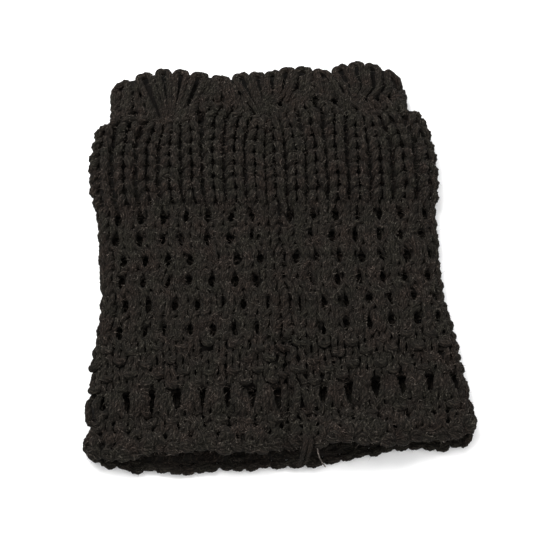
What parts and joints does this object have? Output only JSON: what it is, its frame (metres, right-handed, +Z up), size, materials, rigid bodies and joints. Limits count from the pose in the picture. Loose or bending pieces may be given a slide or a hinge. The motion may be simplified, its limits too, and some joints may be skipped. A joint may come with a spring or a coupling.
{
  "type": "knitted leg warmer",
  "caption": "Short chunky-knit leg warmer lying flat: scalloped top edge, ribbed cuff, eyelet leg, moss-stitch band and open hem.",
  "frame": {"origin": "on the surface that the leg warmer lies on, below the middle of its box", "axes": "+Y along the tube from the hem to the scalloped edge, +X across it to the right as seen from above with the hem nearest, +Z up from the surface"},
  "size_m": [0.151, 0.1812, 0.017],
  "materials": {
    "cuff_yarn": "matt two-ply charcoal yarn, fuzzy, ribbed",
    "leg_yarn": "matt two-ply charcoal yarn, fuzzy, eyelet knit",
    "hem_yarn": "matt two-ply charcoal yarn, fuzzy, moss stitch"
  },
  "bodies": {
    "root": {"cuff_left": "cuff_yarn", "cuff_right": "cuff_yarn", "cuff_back": "cuff_yarn", "leg_left": "leg_yarn", "leg_right": "leg_yarn", "leg_back": "leg_yarn", "hem_left": "hem_yarn", "hem_right": "hem_yarn", "hem_back": "hem_yarn"}
  },
  "joints": []
}
